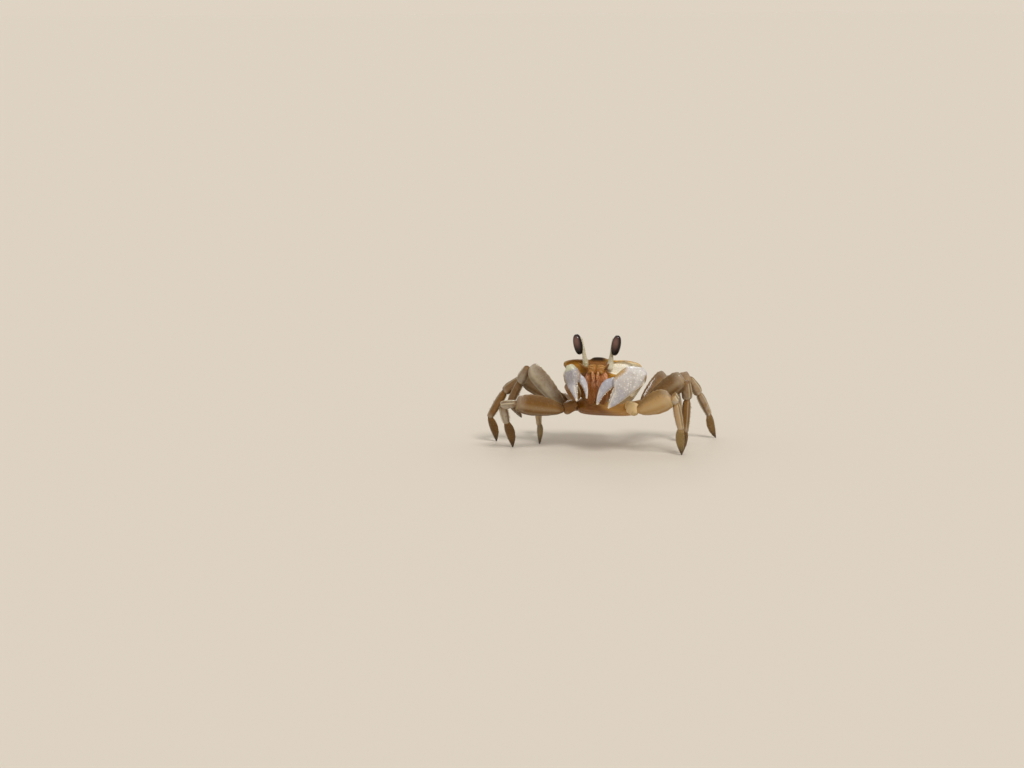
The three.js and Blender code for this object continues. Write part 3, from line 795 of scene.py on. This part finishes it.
def handSkin(bm, node, place, look, tint, start=0.0):
    stations, rows, low, high = outline = outlineOf(node, place, (look["trim"],) * 2, handShape["stations"])

    def closing(x):  # 1 along the piece, down to 0 at its rounded ends
        past = max(0, (x - stations[-1]) / (high - stations[-1]), (stations[0] - x) / (stations[0] - low + start))
        return (1 - min(1, past) ** 2) ** 0.5

    def spot(t, around):
        x = mixed(low - start, high, t)
        c, s = squared(around, look["square"])
        degrees = math.degrees(around)
        cutting, back = angleApart(degrees, 180), angleApart(degrees, 0)
        furrows = sum(bell(angleApart(degrees, middle), handShape["ridgeWidth"]) for middle in handShape["furrows"])
        raised = handShape["keel"] * bell(cutting, handShape["ridgeWidth"])
        inner = ease(t, 0.04, 0.12) * (1 - ease(t, 0.9, 1))
        radius = closing(x) * (1 + raised * inner) - handShape["furrow"] * inner * furrows
        point = onSection(x, sectionAt(x, stations, rows), c * radius, s * radius)
        point.z += handShape["wobble"] * noise.noise(place @ point * 0.7) * s
        edge = bell(cutting, handShape["edgeWidth"]) * ease(t, 0.1, 0.3) + ease(t, 0.88, 1)
        edge += bell(back, handShape["edgeWidth"]) * ease(t, 0.55, 0.7)
        # a painted highlight streak along the faces of the fingers
        edge += 0.9 * bell(abs(math.sin(around)) - 0.8, 0.12) * (c > 0) * ease(t, 0.5, 0.62)
        return place @ point, {
            "dorsal": c, "edge": min(1, edge),
            "tone": tint["yellow"] * ease(t, 0.15, 0.3) * (1 - ease(t, 0.45, 0.6)),
            "pale": mixed(tint["pale"][0], tint["pale"][1], ease(t, 0.42, 0.62)),
            "warm": tint["warm"] * (1 - ease(t, 0.4, 0.6)), "soft": tint["cuff"] * ease(t, 0.2, 0.08),
        }

    def run(t):
        x = mixed(low - start, high, t)
        back, front = sectionAt(x, stations, rows)[:2]
        return (x, (front - back) / 2 * closing(x))

    skin(bm, look["sides"], look["rings"], spot, stations=evenShares(run, look["rings"]))
    return outline


def toothRow(bm, place, outline, count, size, upper, span):
    stations, rows, low, high = outline
    for i in range(count):
        share = i / (count - 1)
        x = mixed(low + span[0] * (high - low), low + span[1] * (high - low), share)
        big = size * toothLook["large" if i % 3 == 1 else "small"] * mixed(*toothLook["fade"], share)
        y0, y1, z0, z1 = sectionAt(x, stations, rows)
        sunk = toothLook["sunk"] * big
        spot = Matrix.Translation(Vector((x, y1 - sunk if upper else y0 + sunk, (z0 + z1) / 2)))
        shape = Matrix.Diagonal([big * share for share in toothLook["shape"]] + [1])
        knob(bm, place @ spot @ shape, 1, tooth=1.0)


def grainDomes(bm, place, outline, count, reach):  # rounded grains over both faces of the palm
    stations, rows, low, high = outline
    square = handLooks["palm"]["square"]
    for _ in range(count):
        x = mixed(low + grainLook["start"] * (high - low), low + reach * (high - low), random.random())
        share = random.uniform(*grainLook["across"])
        depth = random.choice((-1, 1)) * (1 - abs(share) ** (2 / square)) ** (square / 2)
        size = random.uniform(*grainLook["size"]) * (0.7 + 0.5 * ease(share, -0.5, 0.8))
        spot = Matrix.Translation(onSection(x, sectionAt(x, stations, rows), share, depth))
        knob(bm, place @ spot, size, 1, tooth=0.8)


def forkShare(outline):  # where the palm's upper outline drops to its fixed finger
    stations, rows, low, high = outline
    tall = rows[:, 1] > handShape["forkHeight"] * rows[:, 1].max()
    return (stations[np.nonzero(tall)[0].max()] - low) / (high - low)


for side in ("left", "right"):
    arm, wrist, palm, finger = (f"{part}_{side}" for part in ("arm", "wrist", "palm", "finger"))
    root, elbow = footOf(arm, "carapace", bodySocket), footOf(wrist, arm)
    cuff, hinge = footOf(palm, wrist), footOf(finger, palm)
    title, look = side.title(), hands[side]
    for part, node, start, end in (("arm", arm, root, elbow), ("wrist", wrist, elbow, cuff)):
        bm = newShape()
        place = limbPlace(node, start, end, Vector((0, 0, 1)))
        # tone gives the right arm painted shade
        limbSkin(bm, node, place, (end - start).length, armLooks[part], tone=1 if node == "arm_right" else 0)
        finishPiece(bm, part + title, clawPaints["arm"], [node])
    above = Vector(cadPoints(finger).mean(0)) - Vector(cadPoints(palm).mean(0))
    bm = newShape()
    place = limbPlace(palm, cuff, tipOf(palm, cuff), above)
    outline = handSkin(bm, palm, place, handLooks["palm"], look)
    fork = forkShare(outline)
    toothRow(bm, place, outline, look["teeth"][0], look["size"], True, (fork + 0.06, 0.95))
    grainDomes(bm, place, outline, look["grains"], fork + 0.12)
    finishPiece(bm, "palm" + title, clawPaints["claw"], [palm])
    bm = newShape()
    place = limbPlace(finger, hinge, tipOf(finger, hinge), above)
    tint = {"yellow": 0, "pale": (look["pale"][2],) * 2, "warm": 0, "cuff": 0}
    outline = handSkin(bm, finger, place, handLooks["finger"], tint, start=0.9)
    toothRow(bm, place, outline, look["teeth"][1], look["size"] * 0.8, False, (0.25, 0.93))
    finishPiece(bm, "finger" + title, clawPaints["claw"], [finger])
print("claws built")

# Eyes: a tall glossy cornea on a pale stalk
eyeColours = {
    "eye": "#1e0e0c", "skyReflection": "#7d5b50", "low": "#040100",
    "stalk": "#b3a888", "stalkShade": "#978a5c", "stalkPale": "#dcd6c0",
}


def eyePaint():
    paint = Paint("corneaGloss", eyeColours, roughness=0.1, coat=0.5, coatRoughness=0.02, ior=1.5, specular=0.05)
    along = paint.mark("along")
    # darker towards the lower end: painted shade where the cornea reflects the shaded ground
    body = mix(step(along, 0.2, 0.8), "low", "eye")
    # a painted reflection of the sky where the cornea faces forward
    body = mix(paint.mark("pale"), body, "skyReflection")
    body = mix(0.3 * paint.noise(0.6), body, "low")
    return paint.feed(colour=body, normal=bump(paint.grains(0.075), 0.006, 0.25))


def stalkPaint():
    paint = Paint(
        "paleStalk", eyeColours, roughness=0.3, coat=0.4, coatRoughness=0.15, ior=1.5,
        glow=0.25, spread=(1, 0.9, 0.6), depth=0.8 * mm,
    )
    along, fine = paint.mark("along"), paint.noise(0.5, 4)
    # paler at the base on the crab's left: painted light on the sunlit side
    base = mix(paint.mark("tone"), "stalkShade", "stalkPale")
    body = mix(step(along, 0.35, 0.05), "stalk", base)
    body = mix(step(fine, 0.45, 0.7), body, "stalkPale")
    return paint.feed(colour=body, normal=bump(fine, 0.03, 0.4))


eyeLook = {"sides": 64, "rings": 56, "round": 0.78}
stalkLook = {
    "sides": 36, "rings": 64, "trim": (0.04, 0.55), "spare": 0.25, "socket": 0.6, "base": 1.6, "waist": 0.8, "top": 0.8,
    "ring": {"at": 0.1, "width": 0.03, "height": 0.05},
}
eyePaints = {"eye": eyePaint(), "stalk": stalkPaint()}


def axesOf(node):  # middle, turn and half sizes of an egg-shaped piece, long axis first
    points = cadPoints(node)
    centre = (points.max(0) + points.min(0)) / 2
    turn = np.linalg.eigh((points - centre).T @ (points - centre))[1][:, ::-1]
    if turn[2, 0] < 0:
        turn[:, 0] *= -1
    if np.linalg.det(turn) < 0:
        turn[:, 2] *= -1
    spots = (points - centre) @ turn
    half = (spots.max(0) - spots.min(0)) / 2
    centre = centre + turn @ ((spots.max(0) + spots.min(0)) / 2)
    place = Matrix(turn.tolist()).to_4x4()
    place.translation = Vector(centre)
    return place, half


for side in ("left", "right"):
    eye, stalk = f"eye_{side}", f"eyestalk_{side}"
    place, half = axesOf(eye)

    def corneaSpot(t, around):
        swell = math.sin(math.pi * t) ** eyeLook["round"]
        c, s = math.cos(around), math.sin(around)
        point = Vector((-half[0] * math.cos(math.pi * t), half[1] * swell * c, half[2] * swell * s))
        facing = -(place.to_3x3() @ Vector((0, c, s))).y  # 1 looking forward
        # pale is the painted sky reflection where the cornea faces forward
        return place @ point, {"along": t, "pale": ease(facing, 0.5, 1.1) * bell(t - 0.62, 0.2)}

    skinPiece(eyeLook, corneaSpot, "cornea" + side.title(), eyePaints["eye"], [eye])
    foot = footOf(stalk, "carapace", stalkLook["socket"])
    stalkPlace = limbPlace(stalk, foot, tipOf(stalk, foot), Vector((1, 0, 0)))
    stations, rows, low, high = outlineOf(stalk, stalkPlace, stalkLook["trim"])

    def stalkSpot(t, around):
        look, ring = stalkLook, stalkLook["ring"]
        radius = (rows[0, 1] - rows[0, 0]) / 2 * mixed(look["base"], look["waist"], ease(t, 0.02, 0.5))
        radius *= mixed(1, look["top"], ease(t, 0.6, 1)) * (1 + ring["height"] * bell(t - ring["at"], ring["width"]))
        point = onRing(mixed(low, high + look["spare"], t), radius * blunt(t, 7), around)
        return stalkPlace @ point, {"along": t, "tone": float(side == "left")}

    skinPiece(stalkLook, stalkSpot, "stalk" + side.title(), eyePaints["stalk"], [stalk])
print("eyes built")

# Mouth: two plates a side, their palps, and the small feelers folded above them
mouthColours = {
    "plate": "#a65e1e", "deep": "#744208", "shade": "#8c501a", "blush": "#e8ac84",
    "gold": "#96692c", "goldPale": "#cfa76c", "feeler": "#a08552", "hair": "#dc9f74",
}


def mouthPaint(name, main, light, dark):
    paint = Paint(
        name, mouthColours, roughness=0.38, coat=0.15, coatRoughness=0.12, ior=1.45, specular=0.25,
        glow=0.08, spread=(1, 0.6, 0.35), depth=0.7 * mm,
    )
    blotch, fine = paint.noise(1.2), paint.noise(0.3, 4)
    body = mix(step(blotch, 0.35, 0.7), main, dark)
    body = mix(step(paint.mark("along") + 0.3 * (blotch - 0.5), 0.85, 0.25), body, "deep")
    body = mix(paint.mark("pale") * step(fine, 0.35, 0.65), body, "blush")
    body = mix(0.18 * step(fine, 0.5, 0.7), body, light)
    body = mix(0.6 * paint.mark("edge"), body, light)
    height = step(paint.grains(0.3), 0.5, 0.05) + 0.4 * fine
    return paint.feed(colour=body, roughness=0.3 + 0.3 * fine, normal=bump(height, 0.05, 0.6))


mouthPaints = {
    "plate": mouthPaint("mouthPlate", "plate", "blush", "shade"),
    "gold": mouthPaint("goldPalp", "gold", "goldPale", "plate"),
    "feeler": mouthPaint("feelerShell", "feeler", "goldPale", "gold"),
    "hair": mouthPaint("mouthHair", "hair", "goldPale", "blush"),
}
mouthLook = {
    "sides": 52, "rings": 80, "trim": (0.05, 0.05), "square": 0.55, "suture": 0.62, "sutureDepth": 0.08, "furrow": 0.16,
}
mouthHairLook = {
    "count": 110, "along": (0.6, 0.98), "length": (1.2, 2.4), "radius": 0.05, "sway": (0.1, 0.06), "forward": 0.22,
    "wrap": 1.2,
}
feelerLook = {
    "sides": 24, "rings": 60, "trim": (0.12, 0.08), "taper": (1.1, 0.75), "segments": 6, "segmentHeight": 0.14,
}
# Rolls between the plates, in the body's frame with x to their own side: start, end, girth at both, bend
mouthRolls = {
    "snout": ((3.1, -10.8, 2.6), (-0.2, -11.05, 2.8), (1.5, 1.8), 0, {"edge": 0.15}),
    "smallFeeler": ((0.5, -12.45, 3.4), (2.9, -11.75, 3.3), (0.42, 0.4), 0.5, {"edge": 0.4}),
    "feelerFold": ((2.9, -11.8, 2.9), (0.6, -12.65, 2.6), (0.36, 0.26), 0.5, {"edge": 0.6}),
    "palpOver": ((2.5, -11.9, 1.3), (1.0, -12.35, 1.9), (0.6, 0.55), 0.4, {"edge": 0.15}),
    "palpDown": ((1.0, -12.35, 1.9), (0.7, -12.35, -0.9), (0.55, 0.28), 0, {"pale": 0.6}),
}
rollBend = (0, -0.35, 0.55)
snoutFine, rollFine = (36, 30), (20, 20)  # sides and rings of a roll
seamLook = {"inset": 0.8, "girth": (0.7, 0.7), "fine": (24, 40)}


def longPlace(node, above):  # x along the longest way through a piece, upwards
    points = cadPoints(node)
    centre = points.mean(0)
    along = Vector(np.linalg.eigh((points - centre).T @ (points - centre))[1][:, 2])
    if along.z < 0:
        along.negate()
    reach = (points - centre) @ np.array(along)
    start, end = Vector(centre) + along * reach.min(), Vector(centre) + along * reach.max()
    return framed(start, end, above)


def roll(bm, start, end, girth, bend, fine, **values):  # a soft rounded bar, bent to one side
    place = framed(start, end, Vector((0.3, 0.2, 1)))
    length = (end - start).length

    def spot(t, around):
        point = place @ onRing(length * t, mixed(girth[0], girth[1], t) * blunt(t, 3), around)
        return point + bend * (4 * t * (1 - t)), {"along": t, **values}

    skin(bm, *fine, spot)


across = bodyPlace.to_3x3() @ Vector((1, 0, 0))
arch = bodyPlace.to_3x3() @ Vector(rollBend)
plateEnds = []
mouthHairs = newShape()
mouthHairs.loops.layers.uv.new("OFBake")
for side, sign in (("left", 1), ("right", -1)):
    node = f"mouthpart_{side}"
    place = longPlace(node, across * sign)
    stations, rows, low, high = outlineOf(node, place, mouthLook["trim"])
    inset = seamLook["inset"]
    plateEnds.append((place @ Vector((low + inset, 0, 0)), place @ Vector((high - inset, 0, 0))))

    def plateSpot(t, around):
        x = mixed(low, high, t)
        suture = bell(t - mouthLook["suture"], 0.012)
        grown = (1 - mouthLook["sutureDepth"] * suture) * blunt(t, 5)
        c, s = squared(around, mouthLook["square"])
        point = onSection(x, sectionAt(x, stations, rows), c * grown, s * grown)
        furrow = bell(point.y - mixed(-0.55, -0.2, t), 0.16) * (1 - suture)
        point.z -= mouthLook["furrow"] * furrow * s
        edge = max(bell(abs(c) - 1, 0.08) * 0.5, 0.5 * bell(t - mouthLook["suture"] - 0.02, 0.012))
        pale = ease(t, 0.64, 0.86) * (0.6 + 0.4 * math.sin(17 * c + 2 * math.sin(5 * t)))
        return place @ point, {"along": t, "edge": edge, "pale": pale}

    skinPiece(mouthLook, plateSpot, "mouthPlate" + side.title(), mouthPaints["plate"], [node])
    look = mouthHairLook
    for _ in range(look["count"]):  # soft hairs that hang before the plates
        t, swing = random.uniform(*look["along"]), random.uniform(-1, 1)
        root = plateSpot(t, -sign * math.pi / 2 + look["wrap"] * swing)[0]
        sway = [random.gauss(0, spread) for spread in look["sway"]]
        way = Vector((sway[0], sway[1] - look["forward"], -1)).normalized()
        corner = (0.25 + sign * 0.2 + 0.16 * swing, 0.05 + 0.9 * t)
        bristle(mouthHairs, root, way, random.uniform(*look["length"]), look["radius"], corner, along=1.0)

    bm = newShape()
    for name, (start, end, girth, bend, shades) in mouthRolls.items():
        start, end = (bodyPlace @ Vector((sign * x, y, z)) for x, y, z in (start, end))
        roll(bm, start, end, girth, arch * bend, snoutFine if name == "snout" else rollFine, along=1.0, **shades)
    finishPiece(bm, "palp" + side.title(), mouthPaints["gold"], [])

    node = f"antenna_{side}"
    place = longPlace(node, Vector((0, 0, 1)))
    stations, rows, low, high = outlineOf(node, place, feelerLook["trim"])

    def feelerSpot(t, around):
        x = mixed(low, high, t)
        radius = np.interp(x, stations, (rows[:, 1] - rows[:, 0]) / 2) * mixed(*feelerLook["taper"], t) * blunt(t, 6)
        rings = max(0, math.sin(math.tau * feelerLook["segments"] * t))
        radius *= 1 + feelerLook["segmentHeight"] * rings * ease(t, 0.1, 0.25)
        return place @ onRing(x, radius, around), {"edge": 0.4 * t}

    skinPiece(feelerLook, feelerSpot, "feeler" + side.title(), mouthPaints["feeler"], [node])
finishPiece(mouthHairs, "mouthHairs", mouthPaints["hair"], [])

bm = newShape()  # the seam between the plates, so that no gap shows
low, high = ((a + b) / 2 for a, b in zip(*plateEnds))
roll(bm, low, high, seamLook["girth"], Vector(), seamLook["fine"])
finishPiece(bm, "mouthSeam", mouthPaints["plate"], [])
print("mouth built")

# Belly: the sternum's plates and the folded tail
bellyColours = {"plate": "#7c4a10", "pale": "#8f5f22", "side": "#c99852", "dark": "#5a380c", "seam": "#a67c3e"}


def bellyPaint():
    paint = Paint(
        "bellyPlate", bellyColours, roughness=0.35, coat=0.15, coatRoughness=0.12, ior=1.45, specular=0.25,
        glow=0.1, spread=(1, 0.5, 0.2), depth=1 * mm,
    )
    blotch, fine = paint.noise(2.4), paint.noise(0.4, 4)
    body = mix(step(blotch, 0.4, 0.7), "plate", "pale")
    body = mix(0.4 * step(fine, 0.5, 0.75), body, "dark")
    # paler on the crab's left: partly painted light on the sunlit side
    body = mix(0.8 * paint.mark("tone"), body, "side")
    body = mix(0.5 * paint.mark("edge"), body, "seam")
    return paint.feed(colour=body, roughness=0.3 + 0.2 * blotch, normal=bump(fine, 0.05, 0.5))


bellyMaterial = bellyPaint()
bellyLook = {"sides": 84, "rings": 108, "trim": (0.05, 0.05), "seam": 0.05, "seamWidth": 0.011}
plates = {  # seams are shares of the length; sag is how far the middle bulges, rise how far the front reaches up
    "sternum": {"seams": [0.2, 0.37, 0.54, 0.71, 0.86], "square": 0.5, "sag": 0.1, "rise": 2.6},
    "abdomen": {"seams": [0.14, 0.3, 0.45, 0.6, 0.74, 0.87], "square": 0.75, "sag": 0.15, "rise": 0.0},
}


def bodyLong(node):  # x to the rear, y to the crab's left, z down through the plate
    turn = bodyPlace.to_3x3()
    inside = cadPoints(node) @ np.array(turn) - np.array(turn.inverted() @ bodyPlace.translation)
    low, high = inside.min(0), inside.max(0)
    start = bodyPlace @ Vector((0, low[1], (low[2] + high[2]) / 2))
    end = bodyPlace @ Vector((0, high[1], (low[2] + high[2]) / 2))
    return framed(start, end, across)


def plateSkin(name, node, place):
    look = plates[node]
    stations, rows, low, high = outlineOf(node, place, bellyLook["trim"])

    def spot(t, around):
        x = mixed(low, high, t)
        y0, y1, z0, z1 = sectionAt(x, stations, rows)
        z0 -= look["rise"] * (1 - ease(t, 0.3, 0.8))
        bow = 0.03 * abs(math.cos(around))
        seam = max(bell(t - at - bow, bellyLook["seamWidth"]) for at in look["seams"])
        grown = (1 - bellyLook["seam"] * seam) * blunt(t, 5)
        c, s = squared(around, look["square"])
        point = onSection(x, (y0, y1, z0, z1), c * grown, s * grown)
        point.z += look["sag"] * s * (1 - c * c) * grown
        return place @ point, {"edge": seam, "tone": ease(c, 0.0, 0.9)}

    skinPiece(bellyLook, spot, name, bellyMaterial, [node])


plateSkin("sternumPlates", "sternum", bodyLong("sternum"))
plateSkin("foldedTail", "abdomen", longPlace("abdomen", across))
print("belly built")

# Stage, lamps and camera
view = {"distance": 0.766, "azimuth": 20, "elevation": 9, "turn": 2.264, "nod": 0.028, "lens": 85, "near": 0.01}
light = {"sun": 1.8, "softness": 18, "from": (0.5, -0.5, 0.72), "rim": 0.25, "rimFrom": (-0.35, 0.8, 0.5)}
air = {"strength": 0.6, "colour": (1, 0.98, 0.95, 1), "seen": "#dfd4c4"}
ground = {"colour": "#d9cfc0", "radius": 30, "sides": 96}


def softSun(name, place, strength):
    data = bpy.data.lights.new(name, "SUN")
    data.energy = strength
    data.angle = math.radians(light["softness"])
    lamp = bpy.data.objects.new(name, data)
    lamp.rotation_euler = (-Vector(place)).to_track_quat("-Z", "Y").to_euler()
    bpy.context.scene.collection.objects.link(lamp)


softSun("keySun", light["from"], light["sun"])
softSun("rimSun", light["rimFrom"], light["rim"])

world = bpy.data.worlds.new("studioAir")
world.use_nodes = True
nodes, links = world.node_tree.nodes, world.node_tree.links
airLight, seen = nodes["Background"], nodes.new("ShaderNodeBackground")
airLight.inputs["Color"].default_value = air["colour"]
airLight.inputs["Strength"].default_value = air["strength"]
seen.inputs["Color"].default_value = colour(air["seen"])
path, choice = nodes.new("ShaderNodeLightPath"), nodes.new("ShaderNodeMixShader")
links.new(path.outputs["Is Camera Ray"], choice.inputs[0])
links.new(airLight.outputs[0], choice.inputs[1])
links.new(seen.outputs[0], choice.inputs[2])
links.new(choice.outputs[0], nodes["World Output"].inputs["Surface"])
bpy.context.scene.world = world

floorPaint = Paint("paleFloor", ground, colour="colour", roughness=0.95, specular=0.1)
floorShape = bmesh.new()
bmesh.ops.create_circle(floorShape, cap_ends=True, segments=ground["sides"], radius=ground["radius"])
floorMesh = bpy.data.meshes.new("floor")
floorShape.to_mesh(floorMesh)
floorShape.free()
floorMesh.materials.append(floorPaint.material)
floor = bpy.data.objects.new("floor", floorMesh)
bpy.context.scene.collection.objects.link(floor)

camera = bpy.data.objects.new("camera", bpy.data.cameras.new("camera"))
camera.data.lens = view["lens"]
camera.data.clip_start = view["near"]
bpy.context.scene.collection.objects.link(camera)
azimuth, elevation = math.radians(view["azimuth"]), math.radians(view["elevation"])
away = Vector((
    math.sin(azimuth) * math.cos(elevation),
    -math.cos(azimuth) * math.cos(elevation),
    math.sin(elevation),
))
aim = away.to_track_quat("Z", "Y").to_matrix().to_4x4()
aim = aim @ Matrix.Rotation(math.radians(view["turn"]), 4, "Y") @ Matrix.Rotation(math.radians(view["nod"]), 4, "X")
aim.translation = bodyPlace.translation * mm + away * view["distance"]
camera.matrix_world = aim
bpy.context.scene.camera = camera
